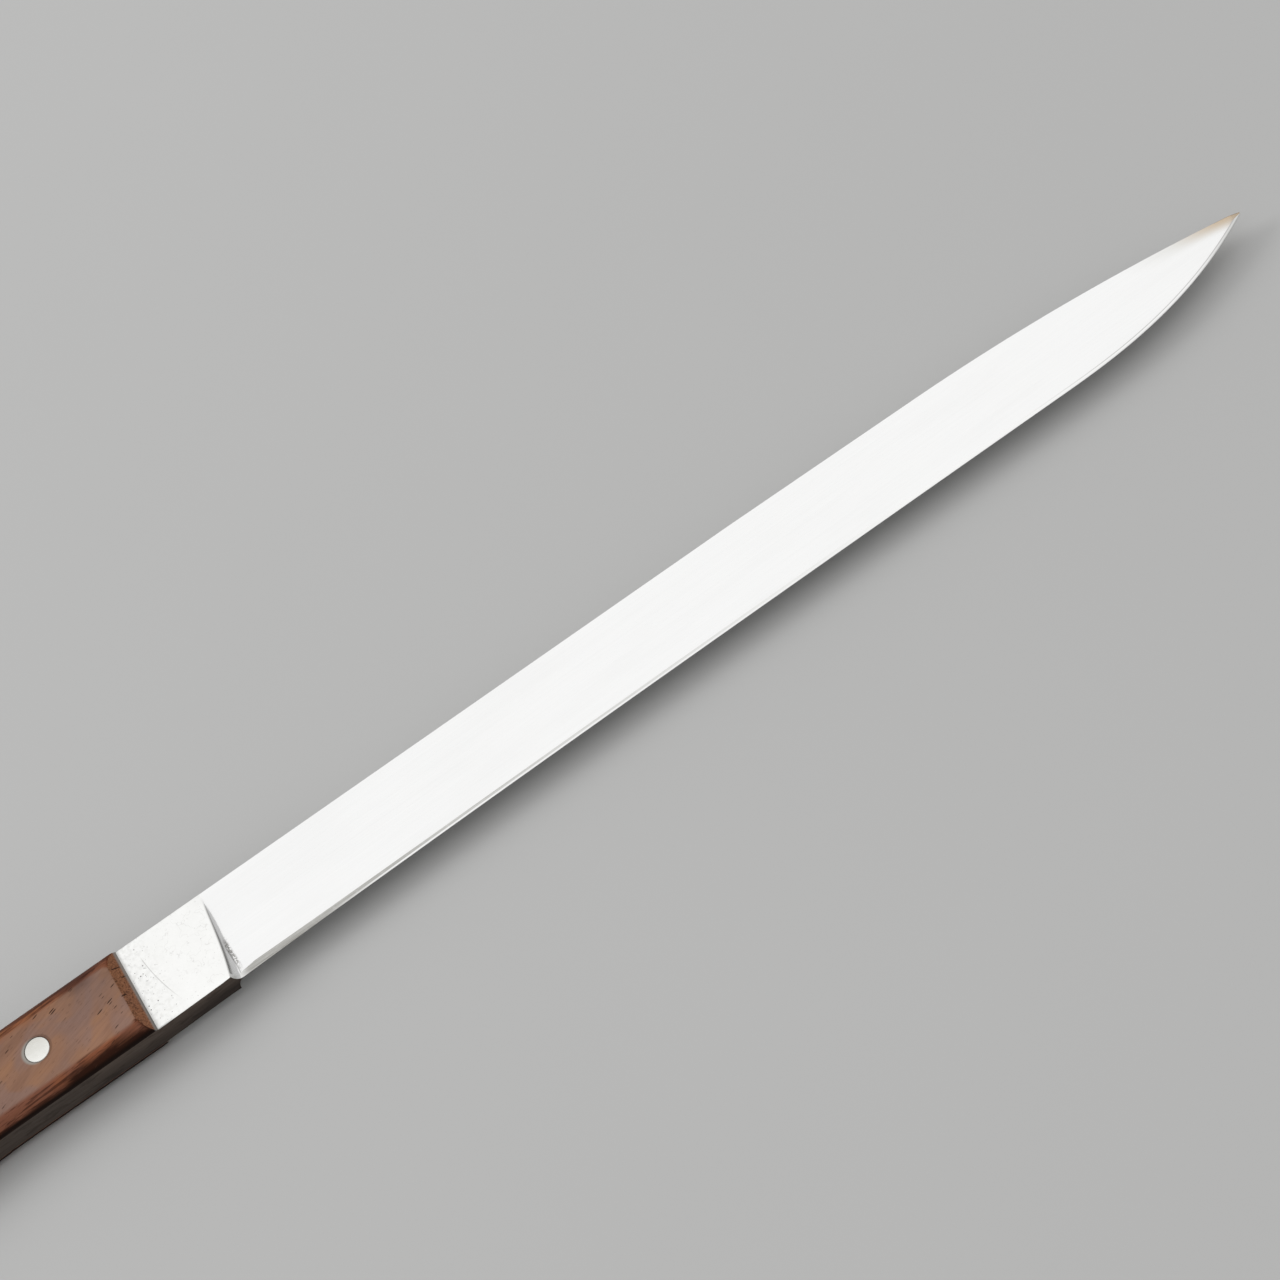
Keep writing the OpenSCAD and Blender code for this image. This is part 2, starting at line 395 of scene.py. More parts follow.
    def finish(self, colour, rough=None, relief=(), depth_mm=0.02):
        """Sets colour, roughness and relief, given as (height, strength) pairs."""
        self.feed(self.shader.inputs["Base Color"], colour)
        if rough is not None:
            self.feed(self.shader.inputs["Roughness"], rough)
        normal = None
        for level, strength in relief:
            node = self.nodes.new("ShaderNodeBump")
            node.inputs["Strength"].default_value = strength
            node.inputs["Distance"].default_value = depth_mm * MM
            self.feed(node.inputs["Height"], level)
            if normal is not None:
                self.feed(node.inputs["Normal"], normal)
            normal = node.outputs["Normal"]
        if normal is not None:
            self.feed(self.shader.inputs["Normal"], normal)
        return self.mat


def plunge_place(sh, x, y):
    """Depth down the blade as a share, and distance ahead of the plunge line."""
    deep = sh.times(y, -1 / HEEL_H)
    line_x = sh.sub(sh.sub(RICASSO_LEN, sh.times(deep, PLUNGE_LEAN)),
                    sh.times(sh.calc("POWER", deep, HOOK_POWER), PLUNGE_HOOK))
    return deep, sh.sub(x, line_x)


# Marks of the plunge: distances ahead of its line, and depths as shares of the blade's height
CREASE_SHADE_AHEAD = (0.05, 0.38)
CREASE_SHADE_DEEP = (0.03, 0.25)
THINNING = 0.14
THINNING_DEEP = (0.3, 0.65)
BORDER_AHEAD = 0.4
BORDER_HALF = (0.04, 0.2)
BORDER_DEEP = (0.62, 0.72)
PARTING = 1.25
PARTING_DEEP = (0.58, 0.98)
TORN_START = (-0.1, 0.12)
TORN_END = (0.5, 1.2)
TORN_TOP_DEEP = (0.52, 0.64)
TORN_FOOT_DEEP = (0.8, 0.98)
# Painted shade and a straw tint of the tip, in x along the blade and in distances below the back
TIP_SHADE_X = (BLADE_LEN - 32, BLADE_LEN - 10)
TIP_SHADE_DOWN = (0.3, 4.0)
STRAW_TIP_X = (BLADE_LEN - 19, BLADE_LEN - 3)
STRAW_TIP_DOWN = (0.2, 3.2)
TIP_SHADE_TONE = (0.64, 0.63, 0.58)
STRAW_TIP_TONE = (0.56, 0.43, 0.29)


def tip_tints(sh, x, y, colour):
    """Towards the tip painted shade greys the top of the face, and the very end is straw coloured.
    """
    into = sh.calc("MAXIMUM", sh.times(sh.sub(x, BLADE_LEN - DROP_LEN), 1 / DROP_LEN), 0.0)
    below = sh.sub(sh.times(into, into, -TIP_DROP), y)
    # Painted shade greys the top of the face towards the tip
    grey = sh.times(sh.rise(x, *TIP_SHADE_X), sh.fall(below, *TIP_SHADE_DOWN), 0.5)
    straw = sh.times(sh.rise(x, *STRAW_TIP_X), sh.fall(below, *STRAW_TIP_DOWN), 0.85)
    return sh.blend(straw, sh.blend(grey, colour, TIP_SHADE_TONE), STRAW_TIP_TONE)


def ground_steel():
    """The polished flat grind, with the traces that the wheel left in the plunge, and painted shade
    along its crease.
    """
    sh = Shade("blade_polish", metallic=1.0)
    p = sh.knife_mm()
    x, y, _ = sh.split(p)
    polish = sh.noise(sh.stretch(p, (0.02, 2.6, 2.6)))
    cloud = sh.noise(sh.stretch(p, (0.03, 0.12, 0.12)))
    colour = sh.blend(polish, (0.9, 0.9, 0.895), (0.955, 0.955, 0.95))
    colour = sh.blend(sh.times(sh.rise(cloud, 0.45, 0.7), 0.12), colour, (0.8, 0.8, 0.79))

    # A dark crease that parts below mid height, round the hollow that the wheel left; the crease is
    # painted shade, standing for the dark reflection in the hollow's steep side
    deep, ahead = plunge_place(sh, x, y)
    thinner = sh.times(sh.fall(deep, *THINNING_DEEP), THINNING)
    crease = sh.times(sh.fall(sh.add(ahead, thinner), *CREASE_SHADE_AHEAD),
                      sh.rise(deep, *CREASE_SHADE_DEEP), 0.7)
    beyond = sh.sub(sh.sub(ahead, BORDER_AHEAD), sh.times(sh.rise(deep, *PARTING_DEEP), PARTING))
    border = sh.times(sh.fall(sh.calc("ABSOLUTE", beyond), *BORDER_HALF),
                      sh.rise(deep, *BORDER_DEEP), 0.5)
    grit = sh.noise(sh.stretch(p, (1.9, 2.7, 1.9)), 3.0, 0.75)
    torn = sh.times(sh.rise(beyond, *TORN_START), sh.fall(beyond, *TORN_END),
                    sh.rise(deep, *TORN_TOP_DEEP), sh.fall(deep, *TORN_FOOT_DEEP))
    torn = sh.times(torn, sh.rise(grit, 0.42, 0.55), 0.9)
    for mark, tone in ((torn, (0.24, 0.23, 0.21)), (crease, (0.12, 0.12, 0.11)),
                       (border, (0.2, 0.19, 0.18))):
        colour = sh.blend(mark, colour, tone)

    colour = tip_tints(sh, x, y, colour)
    rough = sh.add(sh.add(0.17, sh.times(polish, 0.1)), sh.times(torn, 0.3))
    return sh.finish(colour, rough, [(polish, 0.1), (grit, 0.03)])


def circle_through(a, b, c):
    """Centre and radius of the circle through three points of a plane."""
    bx, by, cx, cy = b[0] - a[0], b[1] - a[1], c[0] - a[0], c[1] - a[1]
    d = 2 * (bx * cy - by * cx)
    ux = (cy * (bx * bx + by * by) - by * (cx * cx + cy * cy)) / d
    uy = (bx * (cx * cx + cy * cy) - cx * (bx * bx + by * by)) / d
    return (a[0] + ux, a[1] + uy), math.hypot(ux, uy)


# Marks of the ricasso: x counts from the wood, and y down from the back
REAR_MOTTLE_SHADE_X = (0.5, 11.0)
PITS_X = (3.0, 8.5)
PITS_Y = (-1.1, -0.6)
FINE_PITS_X = (2.0, 14.0)
SCRATCH_THROUGH = ((4.2, -4.9), (5.7, -13.6), (8.6, -22.0))
SCRATCH_HALF = (0.04, 0.17)
SCRATCH_LOW_Y = (-21.0, -14.0)
SCRATCH_TOP_Y = (-6.5, -4.5)
WORMS_X = (8, 11)
SEAM_SHADE_X = (0.0, 0.9)
RICASSO_CREASE_SHADE_AHEAD = (-0.45, 0.0)


def curved_scratch(sh, x, y):
    """The scratch lies on a circle, and fades out towards both edges of the steel."""
    centre, radius = circle_through(*SCRATCH_THROUGH)
    reach = sh.calc("SQRT", sh.add(sh.calc("POWER", sh.sub(x, centre[0]), 2.0),
                                   sh.calc("POWER", sh.sub(y, centre[1]), 2.0)))
    line = sh.fall(sh.calc("ABSOLUTE", sh.sub(reach, radius)), *SCRATCH_HALF)
    return sh.times(line, sh.rise(y, *SCRATCH_LOW_Y), sh.fall(y, *SCRATCH_TOP_Y), 0.42)


def ricasso_steel():
    """The unground steel ahead of the wood: satin, pitted near the wood, with a scratch, and
    painted shade along the seam, along the plunge line and in part of its greyer rear.
    """
    sh = Shade("ricasso_satin", metallic=1.0)
    p = sh.knife_mm()
    x, y, _ = sh.split(p)
    flat = sh.stretch(p, (1, 1, 0))
    satin = sh.noise(sh.stretch(p, (1.4, 1.4, 1.4)), 4.0, 0.65)
    cloud = sh.noise(sh.stretch(p, (0.16, 0.16, 0.16)))
    colour = sh.blend(satin, (0.91, 0.91, 0.895), (0.965, 0.965, 0.95))
    colour = sh.blend(sh.times(sh.rise(cloud, 0.4, 0.7), 0.2), colour, (0.84, 0.835, 0.81))
    # Greyer mottling towards the wood: partly a mottled tone, partly painted shade for the dimmer
    # reflection there
    mottle = sh.noise(sh.stretch(flat, (0.9, 0.9, 1)), 3.0, 0.6)
    rear = sh.times(sh.fall(x, *REAR_MOTTLE_SHADE_X), sh.rise(mottle, 0.42, 0.66))
    colour = sh.blend(sh.times(rear, 0.42), colour, (0.66, 0.66, 0.64))

    pits = sh.times(sh.specks(sh.stretch(flat, (1.3, 1.3, 1)), 0.24, 0.13),
                    sh.fall(x, *PITS_X), sh.fall(y, *PITS_Y))
    fine = sh.times(sh.specks(sh.stretch(flat, (2.4, 2.4, 1)), 0.26, 0.06),
                    sh.fall(x, *FINE_PITS_X))
    far = sh.times(sh.specks(sh.stretch(flat, (0.9, 0.9, 1)), 0.12, 0.1), 0.45)
    scratch = curved_scratch(sh, x, y)
    wander = sh.noise(sh.stretch(flat, (0.35, 0.35, 1), shift=(3, 1, 0)), 2.0)
    worms = sh.fall(sh.calc("ABSOLUTE", sh.sub(wander, 0.53)), 0.002, 0.012)
    worms = sh.times(worms, sh.rise(cloud, 0.48, 0.56), sh.rise(x, *WORMS_X), 0.3)
    # Painted shade and reflection: a grey band on the steel along the seam with the wood
    seam = sh.times(sh.fall(x, *SEAM_SHADE_X), 0.5)
    deep, ahead = plunge_place(sh, x, y)
    # Painted shade on the ricasso's side of the plunge line
    crease = sh.times(sh.rise(ahead, *RICASSO_CREASE_SHADE_AHEAD), sh.rise(deep, *CREASE_SHADE_DEEP), 0.75)
    marks = ((worms, 0.5), (fine, 0.24), (far, 0.35), (pits, 0.22), (scratch, 0.3),
             (seam, 0.3), (crease, 0.3))
    for mark, tone in marks:
        colour = sh.blend(mark, colour, (tone, 0.98 * tone, 0.94 * tone))
    rough = sh.add(0.3, sh.times(satin, 0.14))
    return sh.finish(colour, rough, [(satin, 0.12), (sh.sub(1.0, pits), 0.5)])


# Marks of the bevel, in x along the blade and in heights above the edge
BRIGHT_FROM_X = BLADE_LEN - 100
GREY_FADE_LEN = 165.0
HEEL_GREY_LEN = 4.5
STRIP_UP = (0.28, 0.42)
STRIP_X = (40.0, 65.0)
BELLY_LINE_UP = (0.55, 0.7)
BELLY_LINE_X = (BLADE_LEN - 75, BLADE_LEN - 38)
WORN_UP = (0.1, 0.3)
WORN_X = (BLADE_LEN - 65, BLADE_LEN - 30)
DULL_TIP_X = (BLADE_LEN - 22, BLADE_LEN - 4)


def bevel_steel():
    """The sharpened bevel: stone-ground grey over a bright strip along the edge."""
    sh = Shade("edge_bevel", metallic=1.0)
    p = sh.knife_mm()
    x, y, _ = sh.split(p)
    fade = sh.calc("EXPONENT", sh.times(sh.calc("MAXIMUM", sh.sub(x, HEEL_X), 0.0),
                                        -1 / WAIST_FADE))
    into = sh.times(sh.calc("MAXIMUM", sh.sub(x, BLADE_LEN - BELLY_LEN), 0.0), 1 / BELLY_LEN)
    rise = -TIP_DROP - TIP_NOSE - long_edge_y(BLADE_LEN)
    edge = sh.add(sh.add(-WAIST_H, sh.times(fade, WAIST_H - HEEL_H)),
                  sh.times(sh.calc("POWER", into, BELLY_POWER), rise))
    up = sh.sub(y, edge)

    stone = sh.noise(sh.stretch(p, (0.04, 4.5, 4.5)), 4.0, 0.65)
    grit = sh.noise(sh.stretch(p, (1.0, 2.2, 2.2)), 4.0, 0.7)
    grey = sh.ramp(stone, (0.35, (0.33, 0.325, 0.3)), (0.65, (0.55, 0.545, 0.52)))
    grey = sh.blend(sh.times(sh.rise(grit, 0.5, 0.75), 0.4), grey, (0.7, 0.695, 0.68))
    greyness = sh.calc("MINIMUM", sh.times(sh.sub(BRIGHT_FROM_X, x), 1 / GREY_FADE_LEN), 1.0)
    greyness = sh.times(greyness, sh.rise(x, HEEL_X, HEEL_X + HEEL_GREY_LEN))
    colour = sh.blend(greyness, (0.94, 0.94, 0.93), grey)
    # The strip along the edge starts some way ahead of the heel
    strip = sh.times(sh.fall(up, *STRIP_UP), sh.rise(x, *STRIP_X))
    colour = sh.blend(strip, colour, (0.93, 0.93, 0.92))
    # Round the belly a thin grey line marks the bevel's shoulder
    line = sh.times(sh.rise(up, *BELLY_LINE_UP), sh.rise(x, *BELLY_LINE_X), 0.6)
    colour = sh.blend(line, colour, (0.42, 0.415, 0.4))
    worn = sh.times(sh.fall(up, *WORN_UP), sh.rise(x, *WORN_X), 0.45)
    dull = sh.times(sh.rise(x, *DULL_TIP_X), 0.35)
    colour = sh.blend(sh.add(worn, dull), colour, (0.4, 0.4, 0.39))
    return sh.finish(colour, sh.add(0.22, sh.times(stone, 0.2)), [(stone, 0.2)])


# Stretches of x and z over which the edges of the bar change
EDGE_SHADE_TURN_X = (-24.0, -12.0)
EDGE_SHADE_TURN_Z = (-3.0, 2.6)
SHADED_RICASSO_X = (2.0, 14.0)
SHADED_RICASSO_Z = (-1.5, 2.5)
BRIGHT_EDGE_X = (22.0, 62.0)


def bar_edge_steel():
    """Edges of the bar: brown patina on tang and ricasso, with painted light and shade near the
    ricasso; brighter along the blade.
    """
    sh = Shade("bar_edge", metallic=0.85)
    p = sh.knife_mm()
    x, _, z = sh.split(p)
    drawn = sh.noise(sh.stretch(p, (0.05, 1.1, 1.7)), 4.0, 0.65)
    blotch = sh.noise(sh.stretch(p, (0.22, 0.5, 0.9)), 4.0, 0.6, 0.4)
    patina = sh.ramp(drawn, (0.34, (0.083, 0.062, 0.05)), (0.5, (0.1, 0.077, 0.063)),
                     (0.66, (0.125, 0.099, 0.081)))
    patina = sh.blend(sh.times(sh.rise(blotch, 0.52, 0.66), 0.6), patina, (0.045, 0.031, 0.025))
    # Towards the blade painted light and shade make the edge paler next to the near face and darker
    # away from it
    across = sh.blend(sh.rise(z, *EDGE_SHADE_TURN_Z), (0.72, 0.7, 0.7), (1.28, 1.26, 1.24))
    patina = sh.blend(sh.rise(x, *EDGE_SHADE_TURN_X), patina,
                      sh.blend(1.0, patina, across, "MULTIPLY"))
    # Painted shade: next to the ricasso the edge darkens further away from the near face
    shade = sh.times(sh.rise(x, *SHADED_RICASSO_X), sh.fall(z, *SHADED_RICASSO_Z), 0.5)
    patina = sh.blend(shade, patina, (0.02, 0.013, 0.011))
    bright = sh.ramp(drawn, (0.3, (0.42, 0.41, 0.39)), (0.7, (0.66, 0.655, 0.635)))
    bright = sh.blend(sh.times(sh.rise(blotch, 0.52, 0.72), 0.45), bright, (0.25, 0.22, 0.2))
    colour = sh.blend(sh.rise(x, *BRIGHT_EDGE_X), patina, bright)
    return sh.finish(colour, sh.add(0.3, sh.times(drawn, 0.25)), [(drawn, 0.3)])


# Direction of the sanding marks in degrees, and the rim's place in diameters off the axis
SANDING_TURN = 20.0
PIN_RIM = (0.465, 0.5)


def sanded_pin():
    """Pin ends sanded flush: fine scratches, a cloudy tone, a slightly darker rim, and painted
    shade darkening each end towards the back.
    """
    sh = Shade("pin_sanded", metallic=1.0)
    p = sh.stretch(sh.coord("Object"), (1 / MM, 1 / MM, 1 / MM), SANDING_TURN)
    sand = sh.noise(sh.stretch(p, (0.6, 6.0, 6.0)), 3.0, 0.6)
    cloud = sh.noise(sh.stretch(p, (0.6, 0.6, 0.6)), 3.0, 0.6)
    # Painted shade: each end darkens towards the back, as a slightly domed end would
    across = sh.split(sh.coord("Generated"))
    colour = sh.blend(across[1], (0.86, 0.855, 0.82), (0.62, 0.61, 0.565))
    colour = sh.blend(sh.times(sh.rise(sand, 0.5, 0.7), 0.3), colour, (0.93, 0.92, 0.9))
    colour = sh.blend(sh.times(sh.rise(cloud, 0.45, 0.7), 0.3), colour, (0.66, 0.65, 0.61))
    off = [sh.calc("POWER", sh.sub(side, 0.5), 2.0) for side in across[:2]]
    rim = sh.rise(sh.calc("SQRT", sh.add(*off)), *PIN_RIM)
    colour = sh.blend(sh.times(rim, 0.15), colour, (0.3, 0.28, 0.25))
    return sh.finish(colour, sh.add(0.3, sh.times(sand, 0.15)), [(sand, 0.2)])


def pin_distance(sh, x, y, shift):
    """Distance to the nearest pin's axis, with the axes moved by the shift."""
    # No point of the wood is as far from a pin as the handle is long
    nearest = HANDLE_LEN
    for pin in PIN_PLACES:
        off = [sh.calc("POWER", sh.sub(side, at), 2.0)
               for side, at in ((x, pin.x + shift[0]), (y, pin.y + shift[1]))]
        nearest = sh.calc("MINIMUM", nearest, sh.calc("SQRT", sh.add(*off)))
    return nearest


# How the grain lies on the scales, and which stretch of the endless figure they show
GRAIN_TURN = -19.0
CLOUD_TURN = GRAIN_TURN - 20
GRAIN_START = (15.9, -20.4, 0)
# Marks of the wood: x counts from its front end, and y down from the back
FRONT_TONES_X = (-20.0, -12.0)
FRONT_TONES_Y = (-19.0, -5.0)
DIRT_X = (-2.4, -0.9)
STRIPE_X = (-21.0, -13.0)
STRIPE_Y = (-5.7, -3.0)
STAIN_BACK = 10.5
STAIN_HALF = (1.0, 5.5)
STAIN_Y = (-6.0, -3.0)
REAR_WEAR_SHADE_X = (-25.0, -17.0)
FRONT_WEAR_SHADE_X = (-9.0, -1.0)
CLEAR_HALF = (9.0, 14.0)
CLEAR_Y = (-15.0, -12.0)
FOOT_SHADE_X = (-0.85, -0.25)
FOOT_SHADE_UP = (0.5, 1.0)
WOOD_RELIEF = 0.03
# Rings round each pin, a pale grey one behind it and a dark one ahead of it: shift of the ring,
# where past the pin's rim it is full and where gone, strength, tone
PIN_RINGS = (((-0.6, 0.05), -0.25, 0.5, 0.72, (0.36, 0.37, 0.345)),
             ((0.25, 0.03), 0.15, 0.55, 0.35, (0.03, 0.016, 0.011)))


def wood_flats(sh, p, x, y, clouds, fibre):
    """Banded and cloudy grain with darker fibres and lines."""
    bands = sh.noise(sh.stretch(p, (0.035, 0.13, 0.13), GRAIN_TURN, GRAIN_START), 3.0, 0.5, 1.0)
    lines = sh.noise(sh.stretch(p, (0.03, 0.9, 0.9), GRAIN_TURN), 4.0, 0.65, 0.6)
    colour = sh.ramp(bands, (0.34, (0.241, 0.129, 0.085)), (0.5, (0.289, 0.156, 0.101)),
                     (0.68, (0.332, 0.171, 0.096)))
    colour = sh.blend(sh.times(sh.rise(clouds, 0.42, 0.6), 0.8), colour, (0.254, 0.156, 0.125))
    # Ahead of the front pin the wood is paler towards the edge and greyer towards the back
    across = sh.blend(sh.rise(y, *FRONT_TONES_Y), (1.1, 1.1, 1.1), (0.9, 0.93, 0.97))
    colour = sh.blend(sh.rise(x, *FRONT_TONES_X), colour,
                      sh.blend(1.0, colour, across, "MULTIPLY"))
    colour = sh.blend(sh.times(sh.fall(fibre, 0.35, 0.6), 0.13), colour, (0.08, 0.035, 0.022))
    return sh.blend(sh.times(sh.rise(lines, 0.57, 0.66), 0.14), colour, (0.1, 0.04, 0.022))


def wood_front_ends(sh, p, x, nx, colour):
    """Sloped front ends show brown end grain, with dirt in the pores next to the flat."""
    front_end = sh.rise(nx, 0.25, 0.6)
    pores = sh.noise(sh.stretch(p, (2.2, 2.2, 2.2)), 3.0, 0.7)
    end_grain = sh.ramp(pores, (0.38, (0.1, 0.036, 0.017)), (0.5, (0.25, 0.1, 0.045)),
                        (0.7, (0.33, 0.15, 0.075)))
    colour = sh.blend(sh.times(front_end, 0.85), colour, end_grain)
    dirt = sh.noise(sh.stretch(p, (1.1, 1.1, 1.1), shift=(5, 2, 0)), 4.0, 0.7)
    dirt = sh.times(front_end, sh.rise(dirt, 0.49, 0.62), sh.fall(x, *DIRT_X))
    return sh.blend(sh.times(dirt, 0.55), colour, (0.05, 0.022, 0.012))


def wood_along_back(sh, x, y, clouds, fibre, colour):
    """Behind the front pin an orange stripe runs along the back, partly grain and partly a painted
    highlight; ahead of it a dark stain.
    """
    along_back = sh.add(y, sh.times(sh.sub(clouds, 0.5), 6.0))
    threads = sh.add(0.3, sh.times(sh.rise(fibre, 0.36, 0.58), 0.5))
    # Partly grain, partly a painted highlight along the back shoulder
    stripe = sh.times(sh.fall(x, *STRIPE_X), sh.rise(along_back, *STRIPE_Y), threads)
    colour = sh.blend(stripe, colour, (0.3, 0.115, 0.048))
    stain = sh.times(sh.fall(sh.calc("ABSOLUTE", sh.add(x, STAIN_BACK)), *STAIN_HALF),
                     sh.rise(along_back, *STAIN_Y), 0.4)
    return sh.blend(stain, colour, (0.06, 0.025, 0.016))


def wood_wear_and_shade(sh, p, x, out, edge_side, back_side, colour):
    """Shoulders darkened nearly black towards the steel, less so at the front and the rear: partly
    wear and figure, partly painted shade; the orange band is partly figure, partly a painted
    highlight.
    """
    sweep = sh.noise(sh.stretch(p, (0.05, 0.4, 0.9), -5.0), 4.0, 0.65, 0.6)
    worn = sh.add(out, sh.times(sh.sub(sweep, 0.48), 1.1))
    rearward = sh.times(sh.fall(x, *REAR_WEAR_SHADE_X), sh.add(0.1, sh.times(edge_side, 0.25)))
    forward = sh.times(sh.rise(x, *FRONT_WEAR_SHADE_X), sh.sub(0.35, sh.times(edge_side, 0.17)))
    worn = sh.sub(worn, sh.add(forward, rearward))
    streaks = sh.noise(sh.stretch(p, (0.09, 1.6, 2.2), -4.0), 3.0, 0.6, 0.5)
    both_sides = sh.add(back_side, edge_side)
    # Darkening of the shoulders: partly wear and dark figure, partly painted shade, most of all the
    # near-black foot of the lower shoulder next to the steel
    darkening = ((edge_side, sh.rise(worn, 0.3, 0.72), 0.95, (0.02, 0.006, 0.003)),
                 (back_side, sh.rise(worn, 0.22, 0.75), 0.8, (0.05, 0.014, 0.008)),
                 (both_sides, sh.rise(streaks, 0.51, 0.62), 0.7, (0.035, 0.01, 0.005)),
                 (edge_side, sh.rise(out, 0.84, 0.97), 0.85, (0.006, 0.003, 0.002)))
    for side, pattern, strength, tone in darkening:
        colour = sh.blend(sh.times(side, sh.rise(out, 0.18, 0.34), pattern, strength),
                          colour, tone)
    # A lighter orange band on the lower shoulder, partly figure and partly a painted highlight
    orange_figure_and_highlight = sh.times(edge_side, sh.rise(out, 0.3, 0.5), sh.fall(out, 0.75, 0.9),
                      sh.fall(streaks, 0.4, 0.48), 0.3)
    return sh.blend(orange_figure_and_highlight, colour, (0.16, 0.06, 0.03))


def wood_vessels(sh, p, x, y):
    """Large pores in groups, with hardly any between the front pin and the edge."""
    crowd = sh.noise(sh.stretch(p, (0.06, 0.12, 0.12), GRAIN_TURN, GRAIN_START), 2.0)
    vessels = sh.specks(sh.stretch(p, (0.32, 1.8, 1.8), GRAIN_TURN, GRAIN_START), 0.32, 0.16)
    under_pin = sh.times(sh.fall(sh.calc("ABSOLUTE", sh.add(x, FRONT_PIN_BACK)), *CLEAR_HALF),
                         sh.fall(y, *CLEAR_Y))
    return sh.times(vessels, sh.rise(crowd, 0.4, 0.55), sh.sub(1.0, under_pin))


def scale_wood():
    """Open-pored reddish brown wood: dull sanded flats, redder shoulders gone dark partly with wear
    and partly with painted shade.
    """
    sh = Shade("handle_wood", specular=0.06)
    p = sh.knife_mm()
    x, y, z = sh.split(p)
    nx, ny, _ = sh.split(sh.coord("Normal"))
    clouds = sh.noise(sh.stretch(p, (0.07, 0.1, 0.1), CLOUD_TURN, GRAIN_START), 2.0, 0.5, 0.8)
    fibre = sh.noise(sh.stretch(p, (0.2, 2.6, 2.6), GRAIN_TURN), 3.0, 0.6)
    colour = wood_flats(sh, p, x, y, clouds, fibre)
    colour = wood_front_ends(sh, p, x, nx, colour)

    # Out is low on the flat and 1 on the handle's outline. Both shoulders are darker and redder
    # outwards: partly their own finish, partly painted shade standing for the sheen that the flat
    # shows and they lack
    off_bar = sh.sub(sh.calc("ABSOLUTE", z), BAR_T / 2)
    up = sh.times(off_bar, 1 / (SCALE_T + CROWN))
    out = sh.calc("SQRT", sh.calc("MAXIMUM", sh.sub(1.0, sh.times(up, up)), 0.0))
    edge_side = sh.rise(sh.times(ny, -1.0), 0.04, 0.14)
    back_side = sh.rise(sh.calc("MAXIMUM", ny, sh.times(nx, -1.0)), 0.04, 0.14)
    back_side = sh.times(back_side, sh.sub(1.0, edge_side))
    red_and_shaded = sh.blend(1.0, colour, (0.8, 0.52, 0.4), "MULTIPLY")
    redder = sh.times(sh.add(back_side, edge_side), sh.rise(out, 0.15, 0.4))
    colour = sh.blend(redder, colour, red_and_shaded)
    colour = wood_along_back(sh, x, y, clouds, fibre, colour)
    colour = wood_wear_and_shade(sh, p, x, out, edge_side, back_side, colour)

    small = sh.specks(sh.stretch(p, (0.6, 3.0, 3.0), GRAIN_TURN), 0.34, 0.12)
    colour = sh.blend(sh.times(small, 0.3), colour, (0.06, 0.026, 0.016))
    vessels = wood_vessels(sh, p, x, y)
    colour = sh.blend(sh.times(vessels, 0.9), colour, (0.028, 0.012, 0.008))
    # A pale grey line at the foot of the slope, next to the bare steel, is painted shade and
    # reflection: the soft grey band along the seam, carried onto the wood
    foot = sh.times(sh.rise(x, *FOOT_SHADE_X), sh.fall(off_bar, *FOOT_SHADE_UP))
    colour = sh.blend(sh.times(foot, 0.8), colour, (0.29, 0.275, 0.255))
    for shift, full, gone, share, tone in PIN_RINGS:
        near = pin_distance(sh, x, y, shift)
        ring = sh.fall(near, PIN_D / 2 + full, PIN_D / 2 + gone)
        colour = sh.blend(sh.times(ring, share), colour, tone)
    rough = sh.add(0.38, sh.times(fibre, 0.14))
    return sh.finish(colour, rough, [(fibre, 0.25), (sh.sub(1.0, vessels), 0.5)], WOOD_RELIEF)


def mesh_object(name, points, faces, slots=None):
    """A smooth closed mesh from points in the knife's own frame."""
    mesh = bpy.data.meshes.new(name)
    mesh.from_pydata([place(*p) for p in points], [], faces)
    for index, polygon in enumerate(mesh.polygons):
        polygon.use_smooth = True
        if slots:
            polygon.material_index = slots[index]
    welded = bmesh.new()
    welded.from_mesh(mesh)
    bmesh.ops.remove_doubles(welded, verts=welded.verts, dist=WELD_DIST)
    bmesh.ops.recalc_face_normals(welded, faces=welded.faces)
    welded.to_mesh(mesh)
    welded.free()
    piece = bpy.data.objects.new(name, mesh)
    bpy.context.scene.collection.objects.link(piece)
    return piece


def ring_faces(rings, count):
    """Quads between rings of so many points, then strips that close both ends."""
    faces = [[r * count + k, (r + 1) * count + k,
              (r + 1) * count + (k + 1) % count, r * count + (k + 1) % count]
             for r in range(rings - 1) for k in range(count)]
    for first in (0, (rings - 1) * count):
        faces += [[first + k, first + k + 1, first + count - 2 - k, first + count - 1 - k]
                  for k in range(count // 2 - 1)]
    return faces


def drill(piece):
    """Cuts the pin holes, and keeps the result as the piece's own mesh."""
    cutter_mesh = bpy.data.meshes.new("drill")
    shape = bmesh.new()
    radius = (PIN_D / 2 + PIN_GAP) * MM
    for pin in PIN_PLACES:
        bmesh.ops.create_cone(
            shape, cap_ends=True, segments=DRILL_SIDES, radius1=radius, radius2=radius,
            depth=DRILL_LEN * MM, matrix=Matrix.Translation(place(*pin)))
    shape.to_mesh(cutter_mesh)
    shape.free()
    cutter = bpy.data.objects.new("drill", cutter_mesh)
    bpy.context.scene.collection.objects.link(cutter)
    cut = piece.modifiers.new("holes", "BOOLEAN")
    cut.operation = "DIFFERENCE"
    cut.solver = "EXACT"
    cut.object = cutter
    drilled = piece.evaluated_get(bpy.context.evaluated_depsgraph_get())
    mesh = bpy.data.meshes.new_from_object(drilled)
    piece.modifiers.clear()
    piece.data = mesh
    bpy.data.objects.remove(cutter)


